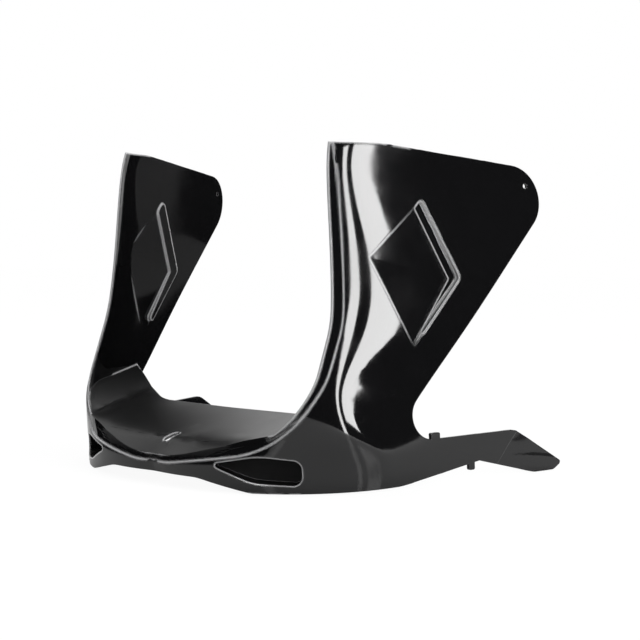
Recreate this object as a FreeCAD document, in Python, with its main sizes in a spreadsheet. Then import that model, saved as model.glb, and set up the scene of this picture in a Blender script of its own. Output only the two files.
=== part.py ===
import FreeCAD, Part
import math
import os
import Sketcher
from FreeCAD import Placement, Rotation, Vector

# Driving dimensions in millimetres and degrees: name, value, what it sets
SIZES = (
    ("wall", 3.2, "moulded wall"),
    ("rebate", 1.3, "depth of the step along the front edge"),
    ("rear_y", 340, "rear end of the hull sections, behind the tail"),
    ("margin", 20, "how far the hull sections run past the middle"),
    ("run_past", 10, "how far the inner hull sections run past the outer ones"),
    ("side_station", 100, "station at which the side widths are taken"),
    ("origin_y", 84.153, "station of the origin, half way along the panel"),
    # Horizontal sections of the hull, from below the lobes to above the wings
    ("level_under", -12, "height of the under section"),
    ("nose_under", -87, "centre front of the under section"),
    ("sweep_under", -2, "sweep of the under section's front, degrees"),
    ("corner_under", 150, "corner radius of the under section"),
    ("side_under", 213, "half width of the under section"),
    ("flare_under", 12.4, "flare of the under section's side, degrees"),
    ("level_lip", 12, "height of the lip section"),
    ("nose_lip", -102, "centre front of the lip section"),
    ("sweep_lip", -3, "sweep of the lip section's front, degrees"),
    ("corner_lip", 172, "corner radius of the lip section"),
    ("side_lip", 223, "half width of the lip section"),
    ("flare_lip", 12.4, "flare of the lip section's side, degrees"),
    ("level_lobe", 38, "height of the lobe section"),
    ("nose_lobe", -105, "centre front of the lobe section"),
    ("sweep_lobe", -3, "sweep of the lobe section's front, degrees"),
    ("corner_lobe", 172, "corner radius of the lobe section"),
    ("side_lobe", 222, "half width of the lobe section"),
    ("flare_lobe", 12.4, "flare of the lobe section's side, degrees"),
    ("level_rim", 61, "height of the rim section"),
    ("nose_rim", -108, "centre front of the rim section"),
    ("sweep_rim", 12, "sweep of the rim section's front, degrees"),
    ("corner_rim", 120, "corner radius of the rim section"),
    ("side_rim", 221, "half width of the rim section"),
    ("flare_rim", 13.5, "flare of the rim section's side, degrees"),
    ("level_neck", 95, "height of the neck section"),
    ("nose_neck", -153, "centre front of the neck section"),
    ("sweep_neck", 30, "sweep of the neck section's front, degrees"),
    ("corner_neck", 100, "corner radius of the neck section"),
    ("side_neck", 219, "half width of the neck section"),
    ("flare_neck", 15.5, "flare of the neck section's side, degrees"),
    ("level_waist", 150, "height of the waist section"),
    ("nose_waist", -239, "centre front of the waist section"),
    ("sweep_waist", 50, "sweep of the waist section's front, degrees"),
    ("corner_waist", 300, "corner radius of the waist section"),
    ("side_waist", 216, "half width of the waist section"),
    ("flare_waist", 17, "flare of the waist section's side, degrees"),
    ("level_wing", 240, "height of the wing section"),
    ("nose_wing", -219, "centre front of the wing section"),
    ("sweep_wing", 50, "sweep of the wing section's front, degrees"),
    ("corner_wing", 380, "corner radius of the wing section"),
    ("side_wing", 207, "half width of the wing section"),
    ("flare_wing", 17, "flare of the wing section's side, degrees"),
    ("crown_over", 16, "height of the crown section above the panel's top"),
    ("nose_crown", -186, "centre front of the crown section"),
    ("sweep_crown", 50, "sweep of the crown section's front, degrees"),
    ("corner_crown", 400, "corner radius of the crown section"),
    ("side_crown", 192, "half width of the crown section"),
    ("flare_crown", 17, "flare of the crown section's side, degrees"),
    # Side outline: wing, trailing edge, tail and tongue
    ("fore_y", -450, "outline's front, ahead of the lobes"),
    ("belly_z", 6, "height of the level underside"),
    ("belly_y", 45, "rear end of the level underside"),
    ("belly_r", 90, "blend from the underside to the tail"),
    ("notch_y", 153, "notch between tail and tongue"),
    ("notch_z", 22, "height of the notch"),
    ("notch_r", 6, "radius of the notch"),
    ("tongue_y", 238, "front of the tongue's level foot"),
    ("tongue_r", 40, "blend at the front of the foot"),
    ("foot_y", 268, "rear of the tongue's level foot"),
    ("foot_r", 9, "radius at the rear of the foot"),
    ("tip_y", 280, "rear tip of the tongue"),
    ("tip_z", 8, "height of the tip"),
    ("tip_r", 3, "radius of the tip"),
    ("heel_y", 228, "rear end of the tail's top edge"),
    ("heel_z", 39, "height of the tail's rear end"),
    ("heel_r", 8, "radius where the tongue starts"),
    ("shoulder_y", 206, "where the tail's top starts to drop"),
    ("tail_z", 51, "height of the tail's top edge"),
    ("shoulder_r", 30, "radius of the tail's shoulder"),
    ("crook_y", 31, "corner of trailing edge and tail, sharp"),
    ("crook_r", 25, "radius of that corner"),
    ("peak_y", 292, "upper rear corner of the wing, sharp"),
    ("peak_drop", 27, "drop of that corner below the panel's top"),
    ("peak_r", 38, "radius of the upper rear corner"),
    ("kink_y", 51, "kink of the top edge"),
    ("top_z", 359, "height of the panel"),
    ("kink_r", 60, "radius of the kink"),
    # Front outline of the opening between the wings
    ("gap_in", -10, "inner side of the opening, over the middle"),
    ("rim_z", 37, "height of the rim in the middle"),
    ("rim_x", 22, "half width of the level rim"),
    ("rim_r", 90, "radius where the rim starts to rise"),
    ("gap_x", 167, "half width of the opening at its corner, sharp"),
    ("gap_z", 59, "height of that corner, sharp"),
    ("gap_r", 80, "radius of the opening's lower corner"),
    ("bulge_x", 168, "widest half width of the opening"),
    ("bulge_z", 175, "height of the widest part"),
    ("bulge_r", 300, "radius of the widest part"),
    ("mouth_x", 148, "half width above the top edge"),
    ("mouth_over", 46, "top of the outline above the panel's top"),
    ("gap_front", 450, "reach of the opening's outline to the front"),
    ("gap_back", 120, "reach of the opening's outline to the rear"),
    ("lip_width", 7, "width of the step along the opening"),
    # Chin outline: what is cut away below the middle
    ("chin_z", 19, "underside of the chin in the middle"),
    ("chin_out_x", 150, "outer side of the chin's outline, under the lobe"),
    ("chin_foot_x", 120, "where the lobe reaches its underside, sharp"),
    ("chin_foot_z", 5.5, "height of the outline under the lobe"),
    ("chin_foot_r", 60, "radius at the lobe's underside"),
    ("chin_x", 62, "half width of the raised underside"),
    ("chin_r", 60, "radius of the raised underside"),
    ("chin_low", -30, "below the lobes"),
    # Cross sections of the ramp between the wings, front to rear
    ("ramp_y_fore", -130, "station of the ramp's fore section"),
    ("ramp_z_fore", 18, "height of the fore section in the middle"),
    ("fold_x_fore", 85, "half width of the floor, fore section"),
    ("fold_z_fore", 33, "height of the floor's side, fore section"),
    ("hip_x_fore", 130, "half width of the side's foot, fore section"),
    ("hip_z_fore", 47, "height of the side's foot, fore section"),
    ("edge_x_fore", 155, "half width of the side's top, fore section"),
    ("edge_z_fore", 74, "height of the side's top, fore section"),
    ("out_z_fore", 200, "height at the block's side, fore section"),
    ("ramp_y_bend", -84, "station of the ramp's bend section"),
    ("ramp_z_bend", 51.5, "height of the bend section in the middle"),
    ("fold_x_bend", 90, "half width of the floor, bend section"),
    ("fold_z_bend", 55.5, "height of the floor's side, bend section"),
    ("hip_x_bend", 136, "half width of the side's foot, bend section"),
    ("hip_z_bend", 63, "height of the side's foot, bend section"),
    ("edge_x_bend", 167, "half width of the side's top, bend section"),
    ("edge_z_bend", 86, "height of the side's top, bend section"),
    ("out_z_bend", 186, "height at the block's side, bend section"),
    ("ramp_y_rear", 64, "station of the ramp's rear section"),
    ("ramp_z_rear", 88, "height of the rear section in the middle"),
    ("fold_x_rear", 100, "half width of the floor, rear section"),
    ("fold_z_rear", 87, "height of the floor's side, rear section"),
    ("hip_x_rear", 150, "half width of the side's foot, rear section"),
    ("hip_z_rear", 92, "height of the side's foot, rear section"),
    ("edge_x_rear", 203, "half width of the side's top, rear section"),
    ("edge_z_rear", 106, "height of the side's top, rear section"),
    ("out_z_rear", 140, "height at the block's side, rear section"),
    ("ramp_out_x", 290, "half width of the ramp's block"),
    ("ramp_base_z", -60, "underside of the ramp's block"),
    ("ramp_top_z", 200, "height of the ramp's plan outline"),
    ("ramp_thick", 3.5, "upright thickness of the ramp"),
    ("plan_in", -60, "inner side of the ramp's plan outline"),
    ("plan_fore", -200, "front of the ramp's plan outline"),
    ("plan_out", 320, "outer side of the ramp's plan outline"),
    ("ramp_end_y", 10, "rear edge of the ramp's floor"),
    ("ramp_end_x", 108, "half width of the floor's rear edge"),
    ("ramp_end_r", 30, "radius in the ramp's rear edge"),
    ("ramp_wing_y", 70, "rear end of the ramp's sides, beyond the wing"),
    ("ramp_wing_x", 222, "half width there, beyond the wing"),
    ("slot_fore", -88, "front of the oval hole in the ramp"),
    ("slot_rear", -68, "rear of the oval hole in the ramp"),
    ("slot_side", 4.2, "half length of the oval hole"),
    ("slot_r", 4, "radius of the oval hole's ends"),
    # Air intake in the lobe, in a plane square to its own axis
    ("intake_turn", 35, "angle of the intake's axis from straight ahead, degrees"),
    ("intake_set", 112, "distance of the duct's inner end from the origin"),
    ("intake_out", 120, "reach of the intake outline to the outside"),
    ("intake_back", 3.2, "wall at the inner end of the duct"),
    ("tip_s", 5, "pointed end of the intake, along"),
    ("tip_h", 34, "pointed end of the intake, height"),
    ("tip_end_r", 2.5, "radius of the pointed end"),
    ("brow_s", 56, "top of the intake, along"),
    ("brow_h", 43.5, "top of the intake, height"),
    ("brow_r", 90, "radius of the top"),
    ("cheek_s", 100, "upper blunt corner, along"),
    ("cheek_h", 39, "upper blunt corner, height"),
    ("cheek_r", 10, "radius of the upper blunt corner"),
    ("jowl_s", 101, "lower blunt corner, along"),
    ("jowl_h", 14, "lower blunt corner, height"),
    ("jowl_r", 9, "radius of the lower blunt corner"),
    ("lower_s", 50, "lower side, along"),
    ("lower_h", 16.5, "lower side, height"),
    ("lower_r", 70, "radius of the lower side"),
    # Chevron groove and diamond on the wing, in the plane of its side
    ("plate_turn", 17, "flare of the wing's side, degrees"),
    ("plate_lean", 5, "lean of the wing's side, degrees"),
    ("plate_x", 209.5, "half width at the plane's origin"),
    ("plate_z", 219, "height of the plane's origin"),
    ("groove_deep", 4.4, "depth of the chevron groove"),
    ("groove_out", 25, "reach of the groove outline to the outside"),
    ("groove_floor", 7.6, "depth of the rib behind the groove"),
    ("chev_top_s", -9, "outer upper end, along"),
    ("chev_top_h", 83, "outer upper end, height"),
    ("chev_end_r", 3, "radius of the upper end"),
    ("chev_out_s", 35.5, "outer point, along"),
    ("chev_out_h", 0, "outer point, height"),
    ("chev_out_r", 5, "radius of the outer point"),
    ("chev_low_s", -31, "lower end, along"),
    ("chev_low_h", -72, "lower end, height"),
    ("chev_low_r", 1, "radius of the lower end"),
    ("chev_in_s", 23, "inner point, along"),
    ("chev_in_h", -1, "inner point, height"),
    ("chev_in_r", 3, "radius of the inner point"),
    ("chev_up_s", -18, "inner upper end, along"),
    ("chev_up_h", 74, "inner upper end, height"),
    ("dia_left_s", -79, "front point of the diamond, along"),
    ("dia_left_h", 23, "front point of the diamond, height"),
    ("dia_top_s", -15, "upper point of the diamond, along"),
    ("dia_top_h", 77, "upper point of the diamond, height"),
    ("dia_right_s", 27, "rear point of the diamond, along"),
    ("dia_right_h", -1, "rear point of the diamond, height"),
    ("dia_low_s", -30, "lower point of the diamond, along"),
    ("dia_low_h", -70, "lower point of the diamond, height"),
    ("dia_deep", 2.6, "depth of the diamond at the chevron"),
    ("dia_grow", 1.1, "growth of the diamond's back"),
    ("dia_back", 2.7, "wall behind the diamond"),
    ("dia_reach", 40, "reach of the sight lines that find the diamond's points"),
    # Screw hole, tabs
    ("hole_y", 234, "station of the screw hole"),
    ("hole_drop", 41, "drop of the screw hole below the panel's top"),
    ("hole_r", 2.7, "radius of the screw hole"),
    ("hole_x", 235, "half width at the screw hole"),
    ("hole_reach", 30, "reach of the hole's drill to each side"),
    ("tab_fore_y", 86, "front of the tail's tab"),
    ("tab_rear_y", 98, "rear of the tail's tab"),
    ("tab_top_z", 57.5, "top of the tail's tab"),
    ("tab_r", 2, "radius of the tab's corners"),
    ("tab_root_z", 40, "root of the tail's tab"),
    ("nub_fore_y", 138, "front of the lower tab"),
    ("nub_rear_y", 146, "rear of the lower tab"),
    ("nub_low_z", 13, "foot of the lower tab"),
    ("nub_root_z", 28, "root of the lower tab"),
    ("crease_low_y", 158, "tongue's crease at its lower end"),
    ("crease_low_z", -8, "below the crease's lower end"),
    ("crease_top_y", 219, "tongue's crease at its upper end"),
    ("crease_top_z", 60, "above the crease's upper end"),
    ("crease_rear_y", 330, "behind the tongue"),
    ("ground_z", 0, "ground under the lobes"),
    ("none", 0, "no reach"),
)
# Heights that follow from the height of the panel
DERIVED = (
    ("level_crown", "=top_z + crown_over", "height of the crown section"),
    ("peak_z", "=top_z - peak_drop", "height of the wing's upper rear corner, sharp"),
    ("mouth_z", "=top_z + mouth_over", "top of the outline between the wings"),
    ("hole_z", "=top_z - hole_drop", "height of the screw hole"),
)
LEVELS = ("under", "lip", "lobe", "rim", "neck", "waist", "wing", "crown")
RAMPS = ("fore", "bend", "rear")

doc = FreeCAD.newDocument("front_panel")
sizes = doc.addObject("Spreadsheet::Sheet", "Sizes")
for row, (alias, value, note) in enumerate(SIZES + DERIVED, 1):
    sizes.set("A%d" % row, note)
    sizes.set("B%d" % row, str(value))
    sizes.setAlias("B%d" % row, alias)
doc.recompute()


def num(alias):
    return float(sizes.get(alias))


def bind(thing, path, text):
    """Drive one property or named constraint from the sheet."""
    thing.setExpression(path, text)


def section(name, inset):
    """Half section of the hull at one level, inset from the outside by a named size."""
    sketch = doc.addObject("Sketcher::SketchObject", "Section_%s_%s" % (name, inset or "out"))
    gap = num(inset) if inset else 0.0
    less = " - Sizes.%s" % inset if inset else ""
    sweep = math.radians(num("sweep_" + name))
    flare = math.radians(num("flare_" + name))
    nose = num("nose_" + name) + gap / math.cos(sweep)
    radius = num("corner_" + name) - gap
    past = num("run_past") if inset else 0.0
    rear = num("rear_y") + past
    wide = num("side_" + name) + (rear - num("side_station")) * math.tan(flare) - gap / math.cos(flare)
    ahead = Vector(math.cos(sweep), math.sin(sweep), 0)
    back = Vector(math.sin(flare), math.cos(flare), 0)
    turn = math.pi / 2 - flare - sweep
    reach = radius * math.tan(turn / 2)
    middle = -num("margin") - past
    nose += middle * math.tan(sweep)
    start = Vector(middle, nose, 0)
    end = Vector(wide, rear, 0)
    across = ahead.x * back.y - ahead.y * back.x
    run = ((end.x - start.x) * back.y - (end.y - start.y) * back.x) / across
    meet = start + ahead * run
    near = meet - ahead * reach
    far = meet + back * reach
    centre = near + Vector(-ahead.y, ahead.x, 0) * radius
    first = math.atan2(near.y - centre.y, near.x - centre.x)
    last = first + turn
    rear_mid = Vector(middle, rear, 0)
    sketch.addGeometry(Part.LineSegment(start, near), False)
    sketch.addGeometry(Part.ArcOfCircle(Part.Circle(centre, Vector(0, 0, 1), radius), first, last), False)
    sketch.addGeometry(Part.LineSegment(far, end), False)
    sketch.addGeometry(Part.LineSegment(end, rear_mid), False)
    sketch.addGeometry(Part.LineSegment(rear_mid, start), False)
    sketch.addConstraint(Sketcher.Constraint("Tangent", 0, 2, 1, 1))
    sketch.addConstraint(Sketcher.Constraint("Tangent", 1, 2, 2, 1))
    sketch.addConstraint(Sketcher.Constraint("Coincident", 2, 2, 3, 1))
    sketch.addConstraint(Sketcher.Constraint("Coincident", 3, 2, 4, 1))
    sketch.addConstraint(Sketcher.Constraint("Coincident", 4, 2, 0, 1))
    sketch.addConstraint(Sketcher.Constraint("Vertical", 4))
    sketch.addConstraint(Sketcher.Constraint("Horizontal", 3))

    def drive(label, constraint, text):
        sketch.renameConstraint(sketch.addConstraint(constraint), label)
        bind(sketch, "Constraints." + label, text)

    angle = "Sizes.%s_" + name + " * 1 deg"
    middle_text = "-Sizes.margin" + (" - Sizes.run_past" if inset else "")
    drive("middle", Sketcher.Constraint("DistanceX", -1, 1, 0, 1, middle), middle_text)
    drive("nose", Sketcher.Constraint("DistanceY", -1, 1, 0, 1, nose),
          "Sizes.nose_%s + (%s) * tan(%s)" % (name, middle_text, angle % "sweep")
          + ("" if not inset else " + Sizes.%s / cos(%s)" % (inset, angle % "sweep")))
    drive("sweep", Sketcher.Constraint("Angle", 0, sweep), angle % "sweep")
    drive("corner", Sketcher.Constraint("Radius", 1, radius), "Sizes.corner_" + name + less)
    drive("flare", Sketcher.Constraint("Angle", 2, math.pi / 2 - flare), "90 deg - " + angle % "flare")
    drive("wide", Sketcher.Constraint("DistanceX", -1, 1, 2, 2, wide),
          "Sizes.side_%s + (Sizes.rear_y%s - Sizes.side_station) * tan(%s)" % (
              name, " + Sizes.run_past" if inset else "", angle % "flare")
          + ("" if not inset else " - Sizes.%s / cos(%s)" % (inset, angle % "flare")))
    drive("rear", Sketcher.Constraint("DistanceY", -1, 1, 2, 2, rear), "Sizes.rear_y" + (" + Sizes.run_past" if inset else ""))
    bind(sketch, "Placement.Base.z", "Sizes.level_" + name)
    return sketch


def hull(inset):
    """Half hull, solid, as far in from the outside as the named size."""
    loft = doc.addObject("Part::Loft", "Hull_" + (inset or "out"))
    loft.Sections = [section(level, inset) for level in LEVELS]
    loft.Solid = True
    loft.Ruled = False
    loft.MaxDegree = 3
    return loft


def outline(name, place, corners):
    """Closed outline of straight sides through named corners (x, y, radius or None)."""
    sketch = doc.addObject("Sketcher::SketchObject", name)
    sketch.Placement = place
    count = len(corners)
    points = [Vector(num(c[0]), num(c[1]), 0) for c in corners]
    ways = [(points[(i + 1) % count] - points[i]).normalize() for i in range(count)]
    heads = []
    tails = []
    arcs = []
    for i, corner in enumerate(corners):
        radius = num(corner[2]) if corner[2] else 0.0
        come = ways[i - 1]
        go = ways[i]
        turn = math.atan2(come.x * go.y - come.y * go.x, come.x * go.x + come.y * go.y)
        reach = radius * math.tan(abs(turn) / 2)
        tails.append(points[i] - come * reach)
        heads.append(points[i] + go * reach)
        side = 1 if turn > 0 else -1
        centre = tails[i] + Vector(-come.y, come.x, 0) * radius * side
        first = math.atan2(tails[i].y - centre.y, tails[i].x - centre.x)
        arcs.append((radius, centre, first, first + turn, side))
    lines = []
    for i in range(count):
        lines.append(sketch.addGeometry(Part.LineSegment(heads[i], tails[(i + 1) % count]), False))

    def drive(label, constraint, alias):
        sketch.renameConstraint(sketch.addConstraint(constraint), label)
        bind(sketch, "Constraints." + label, "Sizes." + alias)

    for i, corner in enumerate(corners):
        before = lines[i - 1]
        after = lines[i]
        radius, centre, first, last, side = arcs[i]
        if radius:
            low, high = (first, last) if side > 0 else (last, first)
            circle = Part.Circle(centre, Vector(0, 0, 1), radius)
            arc = sketch.addGeometry(Part.ArcOfCircle(circle, low, high), False)
            enter, leave = (1, 2) if side > 0 else (2, 1)
            sketch.addConstraint(Sketcher.Constraint("Tangent", before, 2, arc, enter))
            sketch.addConstraint(Sketcher.Constraint("Tangent", arc, leave, after, 1))
            mark = sketch.addGeometry(Part.Point(points[i]), True)
            sketch.addConstraint(Sketcher.Constraint("PointOnObject", mark, 1, before))
            sketch.addConstraint(Sketcher.Constraint("PointOnObject", mark, 1, after))
            drive("round_%d" % i, Sketcher.Constraint("Radius", arc, radius), corner[2])
        else:
            mark = after
            sketch.addConstraint(Sketcher.Constraint("Coincident", before, 2, after, 1))
        drive("across_%d" % i, Sketcher.Constraint("DistanceX", -1, 1, mark, 1, points[i].x), corner[0])
        drive("along_%d" % i, Sketcher.Constraint("DistanceY", -1, 1, mark, 1, points[i].y), corner[1])
    return sketch


def prism(name, sketch, way, fore, aft):
    """Solid from an outline, pushed along a direction by named reaches."""
    solid = doc.addObject("Part::Extrusion", name)
    solid.Base = sketch
    solid.DirMode = "Custom"
    solid.Dir = way
    solid.Solid = True
    bind(solid, "LengthFwd", "Sizes." + fore)
    bind(solid, "LengthRev", "Sizes." + aft)
    return solid


def cut(name, base, tool):
    made = doc.addObject("Part::Cut", name)
    made.Base = base
    made.Tool = tool
    return made


def common(name, base, tool):
    made = doc.addObject("Part::Common", name)
    made.Base = base
    made.Tool = tool
    return made


def fuse(name, shapes):
    made = doc.addObject("Part::MultiFuse", name)
    made.Shapes = shapes
    return made


SIDE_VIEW = Placement(Vector(), Rotation(Vector(0, 1, 0), Vector(0, 0, 1), Vector(1, 0, 0), "ZXY"))
FRONT_VIEW = Placement(Vector(), Rotation(Vector(1, 0, 0), Vector(0, 0, 1), Vector(0, -1, 0), "ZXY"))

outer = hull("")
inner = hull("wall")
step = hull("rebate")


def block(name, lower):
    """Everything below the ramp's face, or below its underside when lower names its thickness."""
    drop = num(lower) if lower else 0.0
    past = num("margin") if lower else 0.0
    inside = -num("margin") - num("run_past")
    ribs = []
    for label in RAMPS:
        station = num("ramp_y_" + label)
        mid = num("ramp_z_" + label)
        rib = [Vector(inside - past, station, mid), Vector(num("run_past"), station, mid)]
        for key in ("fold", "hip", "edge"):
            rib.append(Vector(num(key + "_x_" + label), station, num(key + "_z_" + label)))
        rib.append(Vector(num("ramp_out_x") + past, station, num("out_z_" + label)))
        ribs.append(rib)
    base = num("ramp_base_z") - past
    wires = []
    middle = ribs[1]
    for rib in ribs:
        share = 0.0 if rib is middle else past / abs(rib[0].y - middle[0].y)
        top = [point + (point - twin) * share - Vector(0, 0, drop) for point, twin in zip(rib, middle)]
        feet = [Vector(top[-1].x, top[-1].y, base), Vector(top[0].x, top[0].y, base)]
        wires.append(Part.makePolygon(top + feet + [top[0]]))
    made = doc.addObject("Part::Feature", name)
    made.Shape = Part.makeLoft(wires, True, True)
    return made


def spread(name, sketch, amount):
    """The same outline, larger by a named size all round."""
    made = doc.addObject("Part::Offset2D", name)
    made.Source = sketch
    bind(made, "Value", "Sizes." + amount)
    return made


PLAN_VIEW = Placement()
above = block("Ramp_face", "")
below = block("Ramp_underside", "ramp_thick")
ramp_plan = outline("Ramp_plan", PLAN_VIEW, [
    ("plan_in", "plan_fore", None), ("plan_out", "plan_fore", None), ("plan_out", "ramp_wing_y", None),
    ("ramp_wing_x", "ramp_wing_y", None), ("ramp_end_x", "ramp_end_y", "ramp_end_r"),
    ("plan_in", "ramp_end_y", None)])
ramp_prism = prism("Ramp_prism", ramp_plan, Vector(0, 0, 1), "ramp_top_z", "ramp_top_z")
sheet = common("Ramp_sheet", cut("Ramp_slab", above, below), ramp_prism)

turn = math.radians(num("intake_turn"))
axis = Vector(math.sin(turn), -math.cos(turn), 0)
along = Vector(math.cos(turn), math.sin(turn), 0)
intake_view = Placement(axis * num("intake_set"), Rotation(along, Vector(0, 0, 1), axis, "ZXY"))
intake_outline = outline("Intake_outline", intake_view, [
    ("tip_s", "tip_h", "tip_end_r"), ("lower_s", "lower_h", "lower_r"), ("jowl_s", "jowl_h", "jowl_r"),
    ("cheek_s", "cheek_h", "cheek_r"), ("brow_s", "brow_h", "brow_r")])
intake_prism = prism("Intake_prism", intake_outline, axis, "intake_out", "none")
bind(intake_prism, "LengthRev", "-Sizes.intake_back")
duct = prism("Intake_duct", spread("Intake_outer", intake_outline, "wall"), axis, "intake_out", "none")

flare = math.radians(num("plate_turn"))
lean = math.radians(num("plate_lean"))
plate_out = Vector(math.cos(flare) * math.cos(lean), -math.sin(flare) * math.cos(lean), math.sin(lean))
plate_along = Vector(math.sin(flare), math.cos(flare), 0)
plate_up = plate_out.cross(plate_along)
plate_base = Vector(num("plate_x"), num("side_station"), num("plate_z"))
plate_view = Placement(plate_base, Rotation(plate_along, plate_up, plate_out, "ZXY"))
chevron = outline("Chevron_outline", plate_view, [
    ("chev_low_s", "chev_low_h", "chev_low_r"), ("chev_out_s", "chev_out_h", "chev_out_r"),
    ("chev_top_s", "chev_top_h", "chev_end_r"), ("chev_up_s", "chev_up_h", "chev_end_r"),
    ("chev_in_s", "chev_in_h", "chev_in_r")])
groove = prism("Groove", chevron, plate_out, "groove_out", "groove_deep")
rib = prism("Groove_rib", spread("Chevron_outer", chevron, "wall"), plate_out, "groove_out", "groove_floor")


def on_wing(key):
    """Point of the hull's outside over a named point of the plate's plane."""
    foot = plate_base + plate_along * num(key + "_s") + plate_up * num(key + "_h")
    reach = plate_out * num("dia_reach")
    stick = Part.makeLine(foot - reach, foot + reach)
    ends = stick.common(outer.Shape).Vertexes
    return max((end.Point for end in ends), key=lambda point: point.dot(plate_out))


def facets(name, grow, drop):
    """Shallow scoop whose two faces fall from the front edges to the rear point."""
    tips = [on_wing(key) for key in ("dia_left", "dia_top", "dia_right", "dia_low")]
    tips[2] = tips[2] - plate_out * num("dia_deep")
    centre = (tips[0] + tips[1] + tips[2] + tips[3]) * 0.25
    lows = []
    for tip in tips:
        reach = tip - centre
        flat = reach - plate_out * reach.dot(plate_out)
        lows.append(tip + flat * (grow - 1) - plate_out * drop)
    level = plate_base.dot(plate_out) + num("groove_out")
    highs = [low + plate_out * (level - low.dot(plate_out)) for low in lows]
    rings = [(lows[0], lows[1], lows[2]), (lows[0], lows[2], lows[3]), highs]
    for i in range(4):
        rings.append((lows[i - 1], lows[i], highs[i], highs[i - 1]))
    faces = [Part.Face(Part.makePolygon(list(ring) + [ring[0]])) for ring in rings]
    solid = Part.makeSolid(Part.makeShell(faces))
    made = doc.addObject("Part::Feature", name)
    made.Shape = solid if solid.Volume > 0 else solid.reversed()
    return made


doc.recompute()
scoop = facets("Scoop", 1.0, 0.0)
scoop_back = facets("Scoop_back", num("dia_grow"), num("dia_back"))
core = cut("Core", inner, sheet)
core = cut("Core_scoop", core, scoop_back)
core = cut("Core_duct", core, duct)
core = cut("Core_rib", core, rib)
shell = cut("Shell", outer, core)

side_outline = outline("Side_outline", SIDE_VIEW, [
    ("fore_y", "belly_z", None), ("belly_y", "belly_z", "belly_r"), ("notch_y", "notch_z", "notch_r"),
    ("tongue_y", "ground_z", "tongue_r"), ("foot_y", "ground_z", "foot_r"), ("tip_y", "tip_z", "tip_r"),
    ("heel_y", "heel_z", "heel_r"), ("shoulder_y", "tail_z", "shoulder_r"), ("crook_y", "tail_z", "crook_r"),
    ("peak_y", "peak_z", "peak_r"), ("kink_y", "top_z", "kink_r"), ("fore_y", "top_z", None)])
tab_outline = outline("Tab_outline", SIDE_VIEW, [
    ("tab_fore_y", "tab_root_z", None), ("tab_rear_y", "tab_root_z", None),
    ("tab_rear_y", "tab_top_z", "tab_r"), ("tab_fore_y", "tab_top_z", "tab_r")])
nub_outline = outline("Nub_outline", SIDE_VIEW, [
    ("nub_fore_y", "nub_low_z", "tab_r"), ("nub_rear_y", "nub_low_z", "tab_r"),
    ("nub_rear_y", "nub_root_z", None), ("nub_fore_y", "nub_root_z", None)])
side_block = fuse("Side_block", [
    prism("Side_prism", side_outline, Vector(1, 0, 0), "rear_y", "none"),
    prism("Tab_prism", tab_outline, Vector(1, 0, 0), "rear_y", "none"),
    prism("Nub_prism", nub_outline, Vector(1, 0, 0), "rear_y", "none")])
half = common("Trimmed", shell, side_block)

gap_outline = outline("Gap_outline", FRONT_VIEW, [
    ("gap_in", "rim_z", None), ("rim_x", "rim_z", "rim_r"), ("gap_x", "gap_z", "gap_r"),
    ("bulge_x", "bulge_z", "bulge_r"), ("mouth_x", "mouth_z", None), ("gap_in", "mouth_z", None)])
gap_prism = prism("Gap_prism", gap_outline, Vector(0, -1, 0), "gap_front", "gap_back")
half = cut("Opened", half, cut("Gap_cutter", gap_prism, above))

lip_prism = prism("Lip_prism", spread("Lip_outline", gap_outline, "lip_width"), Vector(0, -1, 0),
                  "gap_front", "none")
half = cut("Stepped", half, cut("Lip_cutter", lip_prism, step))

chin_outline = outline("Chin_outline", FRONT_VIEW, [
    ("plan_in", "chin_low", None), ("chin_out_x", "chin_low", None), ("chin_out_x", "chin_foot_z", None),
    ("chin_foot_x", "chin_foot_z", "chin_foot_r"), ("chin_x", "chin_z", "chin_r"), ("plan_in", "chin_z", None)])
half = cut("Chinned", half, prism("Chin_prism", chin_outline, Vector(0, -1, 0), "gap_front", "gap_back"))
half = cut("Ducted", half, intake_prism)
half = cut("Scooped", half, scoop)
half = cut("Grooved", half, groove)

crease_outline = outline("Crease_outline", SIDE_VIEW, [
    ("crease_low_y", "crease_low_z", None), ("crease_rear_y", "crease_low_z", None),
    ("crease_rear_y", "crease_top_z", None), ("crease_top_y", "crease_top_z", None)])
crease_prism = prism("Crease_prism", crease_outline, Vector(1, 0, 0), "rear_y", "none")
half = cut("Creased", half, cut("Crease_cutter", crease_prism, step))

slot_outline = outline("Slot_outline", PLAN_VIEW, [
    ("plan_in", "slot_fore", None), ("slot_side", "slot_fore", "slot_r"), ("slot_side", "slot_rear", "slot_r"),
    ("plan_in", "slot_rear", None)])
half = cut("Slotted", half, prism("Slot_prism", slot_outline, Vector(0, 0, 1), "ramp_top_z", "none"))

hole = doc.addObject("Part::Cylinder", "Screw_hole")
bind(hole, "Radius", "Sizes.hole_r")
bind(hole, "Height", "2 * Sizes.hole_reach")
hole_axis = Vector(math.cos(flare), -math.sin(flare), 0)
hole_at = Vector(num("hole_x"), num("hole_y"), num("hole_z"))
hole.Placement = Placement(hole_at - hole_axis * num("hole_reach"), Rotation(Vector(0, 0, 1), hole_axis))
half = cut("Drilled", half, hole)

mirror = doc.addObject("Part::Mirroring", "Other_half")
mirror.Source = half
mirror.Normal = Vector(1, 0, 0)
panel = fuse("Panel", [half, mirror])
panel.Label = "front_panel"
bind(panel, "Placement.Base.y", "-Sizes.origin_y")
doc.recompute()

for thing in doc.Objects:
    if "Invalid" in thing.State or "Error" in thing.State:
        raise RuntimeError("%s could not be built" % thing.Label)
if panel.Shape.isNull() or not panel.Shape.isValid() or len(panel.Shape.Solids) != 1:
    raise RuntimeError("%s is not one sound solid" % panel.Label)

os.makedirs("parts", exist_ok=True)
panel.Shape.Solids[0].exportStep("parts/%s.step" % panel.Label)
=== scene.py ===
import math

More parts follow.
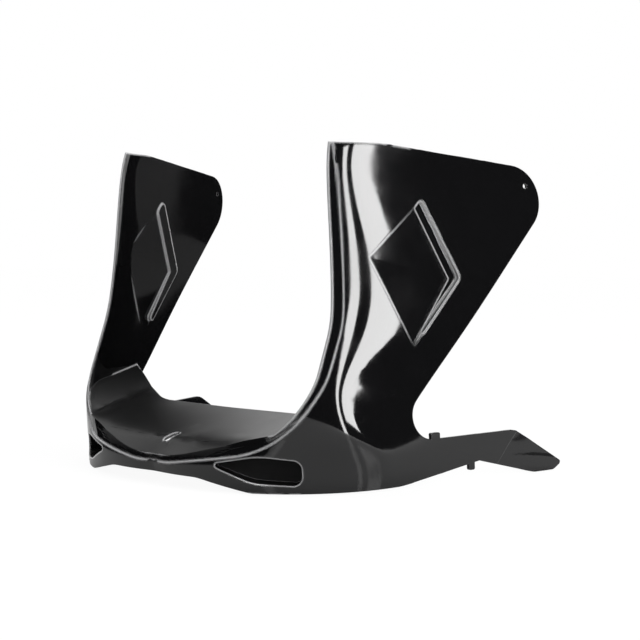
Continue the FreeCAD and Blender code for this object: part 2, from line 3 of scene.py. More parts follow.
import bmesh
import bpy
import numpy as np
from bpy.props import FloatProperty, FloatVectorProperty, IntProperty, PointerProperty
from bpy.types import Operator, Panel, PropertyGroup
from mathutils import Matrix, Vector
from mathutils.kdtree import KDTree


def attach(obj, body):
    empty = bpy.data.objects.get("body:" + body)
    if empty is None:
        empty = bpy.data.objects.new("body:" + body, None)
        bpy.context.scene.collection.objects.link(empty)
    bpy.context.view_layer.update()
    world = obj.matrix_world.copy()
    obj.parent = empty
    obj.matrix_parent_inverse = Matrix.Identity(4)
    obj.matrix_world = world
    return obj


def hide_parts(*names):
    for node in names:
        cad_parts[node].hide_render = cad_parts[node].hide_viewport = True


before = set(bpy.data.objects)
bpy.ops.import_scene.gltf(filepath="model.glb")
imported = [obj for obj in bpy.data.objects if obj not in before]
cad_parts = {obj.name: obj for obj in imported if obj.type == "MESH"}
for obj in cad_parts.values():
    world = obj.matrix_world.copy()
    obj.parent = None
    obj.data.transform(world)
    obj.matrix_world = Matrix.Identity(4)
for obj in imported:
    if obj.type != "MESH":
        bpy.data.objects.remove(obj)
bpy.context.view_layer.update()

bl_info = {
    "name": "Scooter front panel",
    "version": (1, 0, 0),
    "blender": (4, 5, 0),
    "location": "View3D > Sidebar > Front panel",
    "description": "Gloss black moulded front panel of a scooter, with its stage",
    "category": "Object",
}

PANEL_NODE = "front_panel"
REGION = "smooth_region"
SATIN = "satin"
INSIDE = "inside"
# Face mark for the bands along the chevron, the rims and the intake mouths: a painted highlight
# and a larger rounding of their edges
PAINTED_HIGHLIGHT = "painted_highlight_band"
# Points of the diamond beside the chevron, along and up the wing's side, round its outline
DIAMOND = ((-0.079, 0.023), (-0.030, -0.070), (0.027, -0.001), (-0.015, 0.077))
# How far from the wing's side the diamond's faces lie, and the strip left out inside its outline
DIAMOND_DEPTH = 0.015
DIAMOND_STRIP = 0.00003
# The ramp: its half width, front, rear and top, and how far up its faces look
RAMP_SIDE = 0.2
RAMP_FRONT = -0.22
RAMP_REAR = 0.02
RAMP_TOP = 0.12
RAMP_UP = 0.45
# The chevron's groove: its reach from the middle and its depth
GROOVE_REACH = 0.1
GROOVE_DEPTH = 0.012
# The rims: their rear end, their foot between the lobes and their foot outside the lobes
RIM_REAR = 0.06
RIM_FOOT = 0.03
LOBE_SIDE = 0.17
LOBE_TOP = 0.1
# The air intakes' mouths: where they start and end, and their lowest and highest point
MOUTH_START = 0.003
MOUTH_END = 0.105
MOUTH_LOW = 0.012
MOUTH_HIGH = 0.046
# How much of the steps' painted highlight the mouths get
MOUTH_SHARE = 0.7
# Rounded edges: turn, as a cosine, at which their lighter colour (along the moulded steps a
# painted highlight) starts and is full, and its full share
EDGE_START = 0.97
EDGE_FULL = 0.86
EDGE_SHARE = 0.85
# Smooth surface: fall of a corner's pull with distance, least agreement of directions that
# counts, least that is divided by, share of the slopes beside the heights and largest turn
PULL_FALL = 3.0
AGREE_LEAST = 0.5
AGREE_FLOOR = 0.3
SLOPE_SHARE = 0.004
TURN_MOST = math.radians(14)
# Studio: where the lamps aim, and each lamp's place, aim, width, height, glow and whether it
# lights matt surfaces too
NEAR_WING = (0.18, -0.06, 0.2)
FAR_WING = (-0.16, -0.09, 0.09)
MIDDLE = (0.0, 0.0, 0.0)
LAMPS = (
    ("side_box", (2.421, 0.457, 0.79), NEAR_WING, 0.48, 1.02, 20, True),
    ("side_strip", (2.479, -0.012, 0.6), NEAR_WING, 0.13, 1.4, 20, True),
    ("front_strip", (1.05, -2.15, 1.0), NEAR_WING, 0.3, 1.7, 14, False),
    ("left_box", (-1.10, 1.41, 1.86), FAR_WING, 0.8, 0.8, 5, False),
    ("top_box", (0.0, 0.2, 2.6), MIDDLE, 1.6, 1.6, 2, True),
)
# Dark cards: their shades, the upright ones' middle, radius, foot and head, their ends in
# degrees, and the low ones' corners and height above the floor
BLACK = 0.002
GREY = 0.14
CARD_MIDDLE = (0.2, 0.0)
CARD_RADIUS = 2.6
CARD_FOOT = -0.2
CARD_HEAD = 3.0
ROUND_CARDS = (
    ("card_front", -175, 38, BLACK),
    ("card_rear", 38, 88, GREY),
    ("card_end", 88, 106, BLACK),
)
FLAT_CARDS = (
    ("card_behind", (-1.0, 0.25), (0.08, 2.75), BLACK),
    ("card_beside", (0.08, 0.25), (0.45, 2.75), GREY),
)
CARD_ABOVE = 0.003
WORLD_GLOW = 1.05


class MouldingSettings(PropertyGroup):
    """Sizes of the moulded shell's surface."""

    weld: FloatProperty(
        name="Weld", description="Distance under which corners of the shell are one",
        default=0.00001, unit="LENGTH")
    longest: FloatProperty(
        name="Longest edge", description="Longest edge left on the shell's surface",
        default=0.008, unit="LENGTH")
    crease: FloatProperty(
        name="Crease", description="Turn between two faces that makes a sharp edge",
        default=math.radians(18), subtype="ANGLE")
    fold: FloatProperty(
        name="Fold", description="Turn that makes a sharp edge inside the diamond",
        default=math.radians(2), subtype="ANGLE")
    reach: IntProperty(
        name="Reach", description="How many corners around a point shape its surface",
        default=18)
    intake_turn: FloatProperty(
        name="Intake turn", description="Angle of the intakes from straight ahead",
        default=math.radians(35), subtype="ANGLE")
    intake_y: FloatProperty(
        name="Intake station", description="Where the intakes' axes cross the middle plane",
        default=-0.084153, unit="LENGTH")
    intake_end: FloatProperty(
        name="Intake end", description="Distance of the intakes' ends along their axes",
        default=0.1152, unit="LENGTH")
    plate_at: FloatVectorProperty(
        name="Plate", description="Middle of the chevron on the near wing's side",
        subtype="TRANSLATION", size=3, default=(0.2095, 0.015847, 0.219))
    plate_turn: FloatProperty(
        name="Plate turn", description="Flare of the wings' sides",
        default=math.radians(17), subtype="ANGLE")
    plate_lean: FloatProperty(
        name="Plate lean", description="Lean of the wings' sides",
        default=math.radians(5), subtype="ANGLE")
    diamond_back: FloatProperty(
        name="Diamond's back", description="Size of the diamond's back beside its front",
        default=1.12, subtype="FACTOR", soft_max=2.0)
    # Width of the band along the moulded steps that gets the painted highlight and the larger
    # rounding
    painted_highlight_band: FloatProperty(
        name="Edging", description="Distance from a moulded step that counts as its edge",
        default=0.005, unit="LENGTH")
    shift: FloatProperty(
        name="Shift", description="Most that a point moves out to the smooth surface",
        default=0.0004, unit="LENGTH")


class PlasticSettings(PropertyGroup):
    """Finish of the black plastic."""

    colour: FloatVectorProperty(
        name="Colour", description="Colour of the plastic", subtype="COLOR", size=3,
        default=(0.0035, 0.0035, 0.0038))
    # Faint lighter colour along the rounded edges away from the moulded steps
    edge_tint: FloatVectorProperty(
        name="Worn colour", description="Colour along the handled edges", subtype="COLOR", size=3,
        default=(0.05, 0.05, 0.052))
    # Painted highlight: light grey laid along the chevron's groove, the rims and the intake
    # mouths, in place of the reflections on their rounded edges
    bright: FloatVectorProperty(
        name="Bright colour", description="Colour along the polished steps", subtype="COLOR",
        size=3, default=(0.65, 0.65, 0.66))
    gloss_low: FloatProperty(
        name="Gloss, clean", description="Roughness where the plastic is clean",
        default=0.03, subtype="FACTOR")
    gloss_high: FloatProperty(
        name="Gloss, hazy", description="Roughness where the plastic is hazy",
        default=0.08, subtype="FACTOR")
    satin: FloatProperty(
        name="Satin", description="Roughness of the ramp between the wings",
        default=0.34, subtype="FACTOR")
    matt: FloatProperty(
        name="Matt", description="Roughness at the back of the air intakes",
        default=1.0, subtype="FACTOR")
    edge: FloatProperty(
        name="Edge", description="Radius of the moulded edges", default=0.0012, unit="LENGTH")
    step: FloatProperty(
        name="Step", description="Radius along the chevron, the rims and the intakes",
        default=0.0042, unit="LENGTH")
    ripple: FloatProperty(
        name="Ripple", description="Height of the moulded surface's faint ripple",
        default=0.0002, unit="LENGTH")


class StageSettings(PropertyGroup):
    """Floor, lamps and camera."""

    floor: FloatProperty(
        name="Floor", description="Half width of the floor", default=12.0, unit="LENGTH")
    pale: FloatProperty(
        name="Floor colour", description="How pale the floor is", default=0.68, subtype="FACTOR")
    rear_foot: FloatProperty(
        name="Rear foot", description="Distance of the rear feet behind the middle",
        default=0.17, unit="LENGTH")
    lean: FloatProperty(
        name="Lean", description="Slope of the floor from the rear feet up to the lobes",
        default=math.radians(0.95), subtype="ANGLE")
    eye: FloatVectorProperty(
        name="Camera", description="Place of the camera", subtype="TRANSLATION", size=3,
        default=(1.058, -1.18015, 0.267))
    turn: FloatProperty(
        name="Turn", description="Turn of the camera about the upright", subtype="ANGLE",
        default=math.radians(40))
    dip: FloatProperty(
        name="Dip", description="Dip of the camera below level", subtype="ANGLE",
        default=math.radians(3.6))
    lens: FloatProperty(
        name="Lens", description="Focal length in millimetres on a 36 mm sensor", default=78.3)


def new_material(name):
    """Node material with a Principled shader, and its nodes, links and shader."""
    material = bpy.data.materials.new(name)
    material.use_nodes = True
    nodes = material.node_tree.nodes
    shader = nodes["Principled BSDF"]
    return material, nodes, material.node_tree.links, shader


def gloss_black(settings):
    """Gloss black plastic: faint ripple, hazy patches, lighter rounded edges with a painted
    highlight along the moulded steps, duller ramp and intakes.
    """
    material, nodes, links, shader = new_material("gloss_black")
    shader.inputs["IOR"].default_value = 1.46
    place = nodes.new("ShaderNodeTexCoord")

    haze = nodes.new("ShaderNodeTexNoise")
    haze.inputs["Scale"].default_value = 14.0
    haze.inputs["Detail"].default_value = 5.0
    haze.inputs["Roughness"].default_value = 0.62
    links.new(place.outputs["Object"], haze.inputs["Vector"])
    rough = nodes.new("ShaderNodeMapRange")
    rough.inputs["From Min"].default_value = 0.35
    rough.inputs["From Max"].default_value = 0.75
    rough.inputs["To Min"].default_value = settings.gloss_low
    rough.inputs["To Max"].default_value = settings.gloss_high
    links.new(haze.outputs["Fac"], rough.inputs["Value"])
    last = rough.outputs["Result"]
    for name, roughness in ((SATIN, settings.satin), (INSIDE, settings.matt)):
        mark = nodes.new("ShaderNodeAttribute")
        mark.attribute_name = name
        dull = nodes.new("ShaderNodeMix")
        dull.inputs["B"].default_value = roughness
        links.new(mark.outputs["Fac"], dull.inputs["Factor"])
        links.new(last, dull.inputs["A"])
        last = dull.outputs["Result"]
    links.new(last, shader.inputs["Roughness"])

    # Along the moulded steps the rounding grows and the edge colour turns to a painted highlight
    highlight_mask = nodes.new("ShaderNodeAttribute")
    highlight_mask.attribute_name = PAINTED_HIGHLIGHT
    radius = nodes.new("ShaderNodeMapRange")
    radius.inputs["To Min"].default_value = settings.edge
    radius.inputs["To Max"].default_value = settings.step
    links.new(highlight_mask.outputs["Fac"], radius.inputs["Value"])
    rounded = nodes.new("ShaderNodeBevel")
    rounded.samples = 6
    links.new(radius.outputs["Result"], rounded.inputs["Radius"])
    facing = nodes.new("ShaderNodeNewGeometry")
    bend = nodes.new("ShaderNodeVectorMath")
    bend.operation = "DOT_PRODUCT"
    links.new(rounded.outputs["Normal"], bend.inputs[0])
    links.new(facing.outputs["Normal"], bend.inputs[1])
    edge = nodes.new("ShaderNodeMapRange")
    edge.inputs["From Min"].default_value = EDGE_START
    edge.inputs["From Max"].default_value = EDGE_FULL
    edge.inputs["To Min"].default_value = 0.0
    edge.inputs["To Max"].default_value = EDGE_SHARE
    links.new(bend.outputs["Value"], edge.inputs["Value"])
    # Edge colour: a faint lighter tint on rounded edges, and a light grey painted highlight along
    # the steps
    edge_tint_and_highlight = nodes.new("ShaderNodeMix")
    edge_tint_and_highlight.data_type = "RGBA"
    edge_tint_and_highlight.inputs["A"].default_value = (*settings.edge_tint, 1)
    edge_tint_and_highlight.inputs["B"].default_value = (*settings.bright, 1)
    links.new(highlight_mask.outputs["Fac"], edge_tint_and_highlight.inputs["Factor"])
    tint = nodes.new("ShaderNodeMix")
    tint.data_type = "RGBA"
    tint.inputs["A"].default_value = (*settings.colour, 1)
    links.new(edge_tint_and_highlight.outputs["Result"], tint.inputs["B"])
    links.new(edge.outputs["Result"], tint.inputs["Factor"])
    links.new(tint.outputs["Result"], shader.inputs["Base Color"])

    wave = nodes.new("ShaderNodeTexNoise")
    wave.inputs["Scale"].default_value = 12.0
    wave.inputs["Detail"].default_value = 1.0
    links.new(place.outputs["Object"], wave.inputs["Vector"])
    bump = nodes.new("ShaderNodeBump")
    bump.inputs["Strength"].default_value = 1.0
    bump.inputs["Distance"].default_value = settings.ripple
    links.new(wave.outputs["Fac"], bump.inputs["Height"])
    links.new(rounded.outputs["Normal"], bump.inputs["Normal"])
    links.new(bump.outputs["Normal"], shader.inputs["Normal"])
    return material


def number_regions(bm):
    """Number the smooth regions of a surface, which meet only at its sharp edges."""
    region = bm.faces.layers.int.new(REGION)
    for face in bm.faces:
        face[region] = -1
    count = 0
    for seed in bm.faces:
        if seed[region] >= 0:
            continue
        seed[region] = count
        stack = [seed]
        while stack:
            for edge in stack.pop().edges:
                if not edge.smooth:
                    continue
                for other in edge.link_faces:
                    if other[region] < 0:
                        other[region] = count
                        stack.append(other)
        count += 1
    return region


def plate_axes(settings):
    """Directions along, up and out from the near wing's side."""
    flare, lean = settings.plate_turn, settings.plate_lean
    out = Vector((
        math.cos(flare) * math.cos(lean), -math.sin(flare) * math.cos(lean), math.sin(lean)))
    along = Vector((math.sin(flare), math.cos(flare), 0))
    return along, out.cross(along), out


def on_plate(place, settings):
    """Place along, up and out from the middle of the chevron on its own wing."""
    away = Vector((abs(place.x), place.y, place.z)) - Vector(settings.plate_at)
    return tuple(away.dot(axis) for axis in plate_axes(settings))


def in_diamond(place, normal, settings):
    """Whether a point of the wing lies on the diamond or on its larger back."""
    along, up, out = on_plate(place, settings)
    if abs(out) > DIAMOND_DEPTH:
        return False
    facing = Vector((math.copysign(normal.x, normal.x * place.x), normal.y, normal.z))
    grow = 1.0 if facing.dot(plate_axes(settings)[2]) > 0 else settings.diamond_back
    middle_x = sum(x for x, _ in DIAMOND) / len(DIAMOND)
    middle_y = sum(y for _, y in DIAMOND) / len(DIAMOND)
    along = middle_x + (along - middle_x) / grow
    up = middle_y + (up - middle_y) / grow
    for (x, y), (next_x, next_y) in zip(DIAMOND, DIAMOND[1:] + DIAMOND[:1]):
        if (next_x - x) * (up - y) - (next_y - y) * (along - x) < DIAMOND_STRIP:
            return False
    return True


def mark_creases(bm, settings):
    """Make the edges sharp where the surface turns, at a smaller turn inside the diamond."""
    for edge in bm.edges:
        turn = edge.calc_face_angle(math.pi)
        limit = settings.crease
        if settings.fold < turn < limit:
            middle = (edge.verts[0].co + edge.verts[1].co) / 2
            if in_diamond(middle, edge.link_faces[0].normal, settings):
                limit = settings.fold
        edge.smooth = edge.is_manifold and turn < limit


def on_ramp(middle, normal):
    """Whether a face of the near half belongs to the ramp's top."""
    return (normal.z > RAMP_UP and middle.x < RAMP_SIDE
            and RAMP_FRONT < middle.y < RAMP_REAR and middle.z < RAMP_TOP)


def in_groove(middle, normal, settings):
    """Whether a face of the near half is a wall of the chevron's groove."""
    along, up, out = on_plate(middle, settings)
    return (abs(normal.dot(plate_axes(settings)[2])) < 0.05
            and math.hypot(along, up) < GROOVE_REACH and abs(out) < GROOVE_DEPTH)


def on_rim(middle, normal):
    """Whether a face of the near half lies along the wing's or the bridge's rim."""
    foot = LOBE_TOP if middle.x > LOBE_SIDE else RIM_FOOT
    return (abs(normal.y) < 0.03 and (normal.x < -0.3 or normal.z > 0.3)
            and middle.y < RIM_REAR and middle.z > foot)


def mark_finish(bm, settings):
    """Mark the satin ramp, the matt ends of the air intakes and the bands along the moulded steps,
    which get a painted highlight and a larger rounding.
    """
    satin = bm.faces.layers.float.new(SATIN)
    inside = bm.faces.layers.float.new(INSIDE)
    painted_highlight_band = bm.faces.layers.float.new(PAINTED_HIGHLIGHT)
    turn = settings.intake_turn
    ahead = Vector((math.sin(turn), -math.cos(turn), 0))
    beside = Vector((math.cos(turn), math.sin(turn), 0))
    steps = []
    for face in bm.faces:
        middle = face.calc_center_median()
        normal = face.normal.copy()
        if middle.x < 0:
            middle.x, normal.x = -middle.x, -normal.x
        start = middle - Vector((0, settings.intake_y, 0))
        depth, along = start.dot(ahead), start.dot(beside)
        if normal.dot(ahead) > 0.99 and abs(depth - settings.intake_end) < 0.0005:
            face[inside] = 1.0
        elif on_ramp(middle, normal):
            face[satin] = 1.0
        step = in_groove(middle, normal, settings) or on_rim(middle, normal)
        mouth = (abs(normal.dot(ahead)) < 0.05 and depth > settings.intake_end
                 and MOUTH_START < along < MOUTH_END and MOUTH_LOW < middle.z < MOUTH_HIGH)
        # Faces of the steps and mouths give the faces near them their share of painted highlight
        if step or mouth:
            share = 1.0 if step else MOUTH_SHARE
            steps.extend((vert.co.copy(), share) for vert in face.verts)
    if not steps:
        raise RuntimeError("no moulded step was found")
    tree = KDTree(len(steps))
    for index, (place, _) in enumerate(steps):
        tree.insert(place, index)
    tree.balance()
    for face in bm.faces:
        _, index, gap = min(
            (tree.find(vert.co) for vert in face.verts), key=lambda found: found[2])
        if face[inside] == 0.0 and gap < settings.painted_highlight_band:
            face[painted_highlight_band] = steps[index][1]


def region_corners(bm, region, flat):
    """Corners of the curved regions: a search tree for each region, all points, all normals."""
    sums = {}
    for face in bm.faces:
        corners = sums.setdefault(face[region], {})
        for loop in face.loops:
            pull = face.normal * loop.calc_angle()
            corners[loop.vert] = corners.get(loop.vert, Vector()) + pull
    trees, points, normals = {}, [], []
    for number, corners in sums.items():
        middle = sum((pull.normalized() for pull in corners.values()), Vector()).normalized()
        if all(pull.normalized().dot(middle) > math.cos(flat) for pull in corners.values()):
            continue
        tree = KDTree(len(corners))
        for vert, pull in corners.items():
            tree.insert(vert.co, len(points))
            points.append(tuple(vert.co))
            normals.append(tuple(pull.normalized()))
        tree.balance()
        trees[number] = tree
    return trees, np.array(points), np.array(normals)


def fans_of(mesh):
    """Group the mesh's loops into smooth fans; gives the fan of each loop."""
    parent = list(range(len(mesh.loops)))

    def root(i):
        while parent[i] != i:
            parent[i] = parent[parent[i]]
            i = parent[i]
        return i

    corner = {}
    sides = [[] for _ in mesh.edges]
    for face in mesh.polygons:
        for loop in face.loop_indices:
            corner[(face.index, mesh.loops[loop].vertex_index)] = loop
            sides[mesh.loops[loop].edge_index].append(face.index)
    for edge in mesh.edges:
        if edge.use_edge_sharp or len(sides[edge.index]) != 2:
            continue
        one, two = sides[edge.index]
        for vertex in edge.vertices:
            a = root(corner[(one, vertex)])
            b = root(corner[(two, vertex)])
            parent[max(a, b)] = min(a, b)
    roots = np.array([root(i) for i in range(len(parent))])
    return np.unique(roots, return_inverse=True)[1]


def unit(rows):
    """Rows of vectors brought to length one."""
    return rows / np.maximum(np.linalg.norm(rows, axis=1, keepdims=True), 1e-12)


def fit_surface(places, starts, points, normals, near):
    """Height and normal of the smooth surface through the corners near each place."""
    known = near >= 0
    way = points[near] - places[:, None]
    far = np.linalg.norm(way, axis=2)
    reach = np.maximum(np.where(known, far, 0.0).max(axis=1), 1e-4)
    agree = np.einsum("ikj,ij->ik", normals[near], starts)
    weight = np.exp(-PULL_FALL * (far / reach[:, None]) ** 2)
    weight = weight * np.clip(agree - AGREE_LEAST, 0.0, None) * known
    agree = np.maximum(agree, AGREE_FLOOR)
    upright = np.abs(starts[:, 2:3]) < 0.8
    side = unit(np.cross(starts, np.where(upright, [[0.0, 0.0, 1.0]], [[1.0, 0.0, 0.0]])))
    rise = np.cross(starts, side)
    x = np.einsum("ikj,ij->ik", way, side) / reach[:, None]
    y = np.einsum("ikj,ij->ik", way, rise) / reach[:, None]
    z = np.einsum("ikj,ij->ik", way, starts) / reach[:, None]
    slope_x = -np.einsum("ikj,ij->ik", normals[near], side) / agree
    slope_y = -np.einsum("ikj,ij->ik", normals[near], rise) / agree
    one, none = np.ones_like(x), np.zeros_like(x)
    left = np.zeros((len(places), 6, 6)) + 1e-6 * np.eye(6)
    right = np.zeros((len(places), 6))
    for terms, value, share in (
            ((one, x, y, x * x, x * y, y * y), z, 1.0),
            ((none, one, none, 2 * x, y, none), slope_x, SLOPE_SHARE),
            ((none, none, one, none, x, 2 * y), slope_y, SLOPE_SHARE)):
        row = np.stack(terms, axis=2)
        left += np.einsum("ikp,ikq->ipq", row * (share * weight)[:, :, None], row)
        right += np.einsum("ikp,ik->ip", row, share * weight * value)
    fit = np.linalg.solve(left, right[:, :, None])[:, :, 0]
    turned = unit(starts - side * fit[:, 1:2] - rise * fit[:, 2:3])
    good = np.einsum("ij,ij->i", turned, starts) > math.cos(TURN_MOST)
    height = np.where(good & (far.min(axis=1) > 1e-6), fit[:, 0] * reach, 0.0)
    return height, np.where(good[:, None], turned, starts)


def smooth_surface(mesh, corners, settings):
    """Lay the triangles on the smooth surface through the corners and set its normals."""
    trees, points, normals = corners
    fans = fans_of(mesh)
    total = fans.max() + 1
    places = np.empty(len(mesh.vertices) * 3)
    mesh.vertices.foreach_get("co", places)
    places = places.reshape(-1, 3)
    vertices = np.empty(len(mesh.loops), dtype=np.int32)
    mesh.loops.foreach_get("vertex_index", vertices)
    vectors = np.empty(len(mesh.polygons) * 3)
    mesh.polygons.foreach_get("normal", vectors)
    areas = np.empty(len(mesh.polygons))
    mesh.polygons.foreach_get("area", areas)
    numbers = np.empty(len(mesh.polygons), dtype=np.int32)
    mesh.attributes[REGION].data.foreach_get("value", numbers)
    face = np.repeat(np.arange(len(mesh.polygons)), 3)
    starts = np.zeros((total, 3))
    np.add.at(starts, fans, (vectors.reshape(-1, 3) * areas[:, None])[face])
    starts = unit(starts)
    vertex = np.zeros(total, dtype=np.int32)
    vertex[fans] = vertices
    number = np.zeros(total, dtype=np.int32)
    number[fans] = numbers[face]
    near = np.full((total, settings.reach), -1)
    for fan in range(total):
        if number[fan] not in trees:
            continue
        found = trees[number[fan]].find_n(places[vertex[fan]], settings.reach)
        near[fan, :len(found)] = [index for _, index, _ in found]
    heights = np.zeros(total)
    turned = np.zeros((total, 3))
    for rows in np.array_split(np.arange(total), total // 8000 + 1):
        heights[rows], turned[rows] = fit_surface(
            places[vertex[rows]], starts[rows], points, normals, near[rows])
    alone = np.bincount(vertex, minlength=len(places))[vertex] == 1
    heights = np.where(alone, np.clip(heights, -settings.shift, settings.shift), 0.0)
    np.add.at(places, vertex, starts * heights[:, None])
    mesh.vertices.foreach_set("co", places.ravel())
    mesh.update()
    mesh.normals_split_custom_set(turned[fans].tolist())


class OBJECT_OT_front_panel(Operator):
    """Make the moulded shell with its smooth surface and gloss black finish"""

    bl_idname = "object.scooter_front_panel"
    bl_label = "Front panel"

    def execute(self, context):
        settings = context.scene.front_panel_moulding
        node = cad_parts[PANEL_NODE]
        bm = bmesh.new()
        bm.from_mesh(node.data)
        bmesh.ops.remove_doubles(bm, verts=bm.verts, dist=settings.weld)
        bmesh.ops.dissolve_degenerate(bm, dist=settings.weld, edges=bm.edges)
        bmesh.ops.triangulate(bm, faces=bm.faces)
        mark_creases(bm, settings)
        corners = region_corners(bm, number_regions(bm), settings.fold)
        for _ in range(4):
            long = [edge for edge in bm.edges if edge.calc_length() > settings.longest]
            if not long:
                break
            bmesh.ops.subdivide_edges(bm, edges=long, cuts=1)
            bmesh.ops.triangulate(bm, faces=[face for face in bm.faces if len(face.verts) > 3])
        bm.normal_update()
        mark_finish(bm, settings)
        for face in bm.faces:
            face.smooth = True
        mesh = bpy.data.meshes.new("moulded_shell")
        bm.to_mesh(mesh)
        bm.free()
        if len(mesh.polygons) == 0:
            raise RuntimeError("the shell has no faces")
        smooth_surface(mesh, corners, settings)
        shell = bpy.data.objects.new("moulded_shell", mesh)
        context.scene.collection.objects.link(shell)
        mesh.materials.append(gloss_black(context.scene.front_panel_plastic))
        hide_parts(PANEL_NODE)
        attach(shell, "root")
        return {"FINISHED"}


def soft_box(name, place, aim, width, height, glow, lights):
    """Rectangular studio lamp turned towards a point; without lights it only shows in gloss."""
    lamp = bpy.data.lights.new(name, "AREA")
    lamp.shape = "RECTANGLE"
    lamp.size = width
    lamp.size_y = height
    lamp.energy = glow * math.pi * width * height
    thing = bpy.data.objects.new(name, lamp)
    thing.location = place
    way = Vector(aim) - Vector(place)
    thing.rotation_euler = way.to_track_quat("-Z", "Y").to_euler()
    thing.visible_diffuse = lights
    bpy.context.scene.collection.objects.link(thing)


def studio_card(name, bm, shade):
    """Dark studio card that shows in gloss only."""
    mesh = bpy.data.meshes.new(name)
    bm.to_mesh(mesh)
    bm.free()
    material, _, _, shader = new_material(name)
    shader.inputs["Base Color"].default_value = (shade, shade, shade, 1)
    shader.inputs["Roughness"].default_value = 1.0
    shader.inputs["Specular IOR Level"].default_value = 0.0
    mesh.materials.append(material)
    card = bpy.data.objects.new(name, mesh)
    card.visible_camera = False
    card.visible_shadow = False
    card.visible_diffuse = False
    bpy.context.scene.collection.objects.link(card)


def round_card(name, centre, radius, start, end, low, high, shade):
    """Upright card, part of a cylinder about a point."""
    bm = bmesh.new()
    foot = bm.verts.new((
        centre[0] + radius * math.cos(start), centre[1] + radius * math.sin(start), low))
    head = bm.verts.new((foot.co.x, foot.co.y, high))
    edge = bm.edges.new((foot, head))
    bmesh.ops.spin(
        bm, geom=[foot, head, edge], cent=(centre[0], centre[1], 0), axis=(0, 0, 1),
        angle=end - start, steps=36, use_merge=False)
    studio_card(name, bm, shade)


def flat_card(name, low, high, above, shade, settings):
    """Card that lies just above the floor."""
    bm = bmesh.new()
    bmesh.ops.create_grid(bm, x_segments=1, y_segments=1, size=0.5)
    bmesh.ops.scale(bm, verts=bm.verts, vec=(high[0] - low[0], high[1] - low[1], 1.0))
    bmesh.ops.translate(
        bm, verts=bm.verts, vec=((low[0] + high[0]) / 2, (low[1] + high[1]) / 2, above))
    lean_with_floor(bm, settings)
    studio_card(name, bm, shade)


def lean_with_floor(bm, settings):
    """Turn a level mesh about the rear feet, so that the panel stands on lobes and feet."""
    bmesh.ops.rotate(
        bm, verts=bm.verts, cent=(0, settings.rear_foot, 0),
        matrix=Matrix.Rotation(-settings.lean, 3, "X"))


def studio_floor(settings):
    """Pale floor with a faint sheen, white to the camera but for the shadow."""
    bm = bmesh.new()
    bmesh.ops.create_grid(bm, x_segments=2, y_segments=2, size=settings.floor)
    lean_with_floor(bm, settings)
    mesh = bpy.data.meshes.new("studio_floor")
    bm.to_mesh(mesh)
    bm.free()
    material, nodes, links, shader = new_material("studio_floor")
    shader.inputs["Base Color"].default_value = (settings.pale, settings.pale, settings.pale, 1)
    shader.inputs["Roughness"].default_value = 0.9
    shader.inputs["Specular IOR Level"].default_value = 0.0
    sheen = nodes.new("ShaderNodeBsdfGlossy")
    sheen.inputs["Roughness"].default_value = 0.12
    polished = nodes.new("ShaderNodeMixShader")
    polished.inputs["Fac"].default_value = 0.05
    links.new(shader.outputs["BSDF"], polished.inputs[1])
    links.new(sheen.outputs["BSDF"], polished.inputs[2])
    glow = nodes.new("ShaderNodeEmission")
    glow.inputs["Strength"].default_value = 1.03
    seen = nodes.new("ShaderNodeLightPath")
    part = nodes.new("ShaderNodeMath")
    part.operation = "MULTIPLY"
    part.inputs[1].default_value = 0.9
    links.new(seen.outputs["Is Camera Ray"], part.inputs[0])
    blend = nodes.new("ShaderNodeMixShader")
    links.new(part.outputs["Value"], blend.inputs["Fac"])
    links.new(polished.outputs["Shader"], blend.inputs[1])
    links.new(glow.outputs["Emission"], blend.inputs[2])
    links.new(blend.outputs["Shader"], nodes["Material Output"].inputs["Surface"])
    mesh.materials.append(material)
    floor = bpy.data.objects.new("studio_floor", mesh)
    bpy.context.scene.collection.objects.link(floor)


def studio_world(strength):
    """White surroundings: plain white where seen or mirrored, else as strong as given."""
    world = bpy.data.worlds.new("studio")
    world.use_nodes = True
    nodes = world.node_tree.nodes
    links = world.node_tree.links
    around = nodes["Background"]
    around.inputs["Color"].default_value = (1, 1, 1, 1)
    around.inputs["Strength"].default_value = strength
    white = nodes.new("ShaderNodeBackground")
    white.inputs["Color"].default_value = (1, 1, 1, 1)
    white.inputs["Strength"].default_value = 1.0
    seen = nodes.new("ShaderNodeLightPath")
    shown = nodes.new("ShaderNodeMath")
    shown.operation = "MAXIMUM"
    links.new(seen.outputs["Is Camera Ray"], shown.inputs[0])
    links.new(seen.outputs["Is Glossy Ray"], shown.inputs[1])
    through = nodes.new("ShaderNodeMath")
    through.operation = "MAXIMUM"
    links.new(shown.outputs["Value"], through.inputs[0])
    links.new(seen.outputs["Is Transmission Ray"], through.inputs[1])
    blend = nodes.new("ShaderNodeMixShader")
    links.new(through.outputs["Value"], blend.inputs["Fac"])
    links.new(around.outputs["Background"], blend.inputs[1])
    links.new(white.outputs["Background"], blend.inputs[2])
    links.new(blend.outputs["Shader"], nodes["World Output"].inputs["Surface"])
    return world


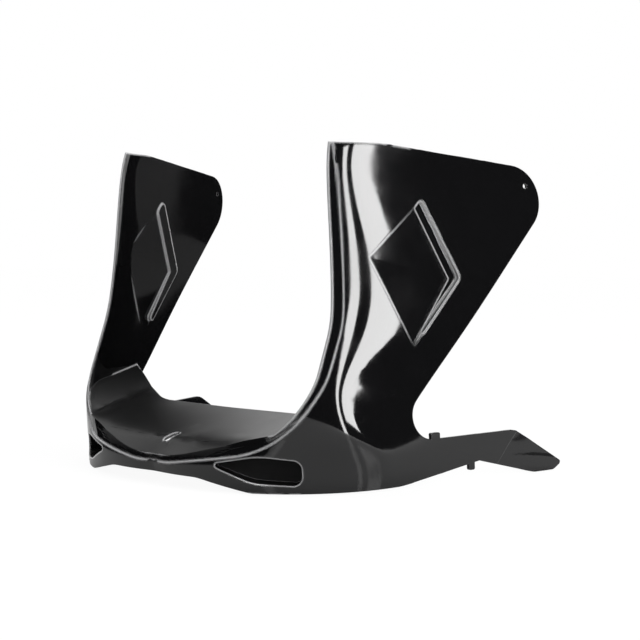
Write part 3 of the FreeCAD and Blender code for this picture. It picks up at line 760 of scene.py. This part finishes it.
class OBJECT_OT_panel_stage(Operator):
    """Make the pale floor, the soft boxes, the dark cards and the camera"""

    bl_idname = "object.scooter_panel_stage"
    bl_label = "Stage"

    def execute(self, context):
        settings = context.scene.front_panel_stage
        scene = context.scene
        studio_floor(settings)
        scene.world = studio_world(WORLD_GLOW)
        for lamp in LAMPS:
            soft_box(*lamp)
        for name, first, last, shade in ROUND_CARDS:
            round_card(
                name, CARD_MIDDLE, CARD_RADIUS, math.radians(first), math.radians(last),
                CARD_FOOT, CARD_HEAD, shade)
        for name, low, high, shade in FLAT_CARDS:
            flat_card(name, low, high, CARD_ABOVE, shade, settings)

        lens = bpy.data.cameras.new("photo_view")
        lens.lens = settings.lens
        lens.sensor_width = 36.0
        eye = bpy.data.objects.new("photo_view", lens)
        eye.location = settings.eye
        eye.rotation_euler = (math.pi / 2 - settings.dip, 0.0, settings.turn)
        scene.collection.objects.link(eye)
        scene.camera = eye
        scene.view_settings.view_transform = "Standard"
        return {"FINISHED"}


class VIEW3D_PT_front_panel(Panel):
    """List the pieces and the stage"""

    bl_label = "Front panel"
    bl_space_type = "VIEW_3D"
    bl_region_type = "UI"
    bl_category = "Front panel"

    def draw(self, context):
        column = self.layout.column()
        column.operator(OBJECT_OT_front_panel.bl_idname)
        column.operator(OBJECT_OT_panel_stage.bl_idname)
        for settings in (
                context.scene.front_panel_moulding, context.scene.front_panel_plastic,
                context.scene.front_panel_stage):
            box = self.layout.box()
            for name in settings.bl_rna.properties.keys():
                if name not in ("rna_type", "name"):
                    box.prop(settings, name)


CLASSES = (
    MouldingSettings, PlasticSettings, StageSettings,
    OBJECT_OT_front_panel, OBJECT_OT_panel_stage, VIEW3D_PT_front_panel,
)


def register():
    for thing in CLASSES:
        bpy.utils.register_class(thing)
    bpy.types.Scene.front_panel_moulding = PointerProperty(type=MouldingSettings)
    bpy.types.Scene.front_panel_plastic = PointerProperty(type=PlasticSettings)
    bpy.types.Scene.front_panel_stage = PointerProperty(type=StageSettings)


def unregister():
    del bpy.types.Scene.front_panel_stage
    del bpy.types.Scene.front_panel_plastic
    del bpy.types.Scene.front_panel_moulding
    for thing in reversed(CLASSES):
        bpy.utils.unregister_class(thing)


def main():
    register()
    bpy.ops.object.scooter_front_panel()
    bpy.ops.object.scooter_panel_stage()


if __name__ == "__main__":
    main()
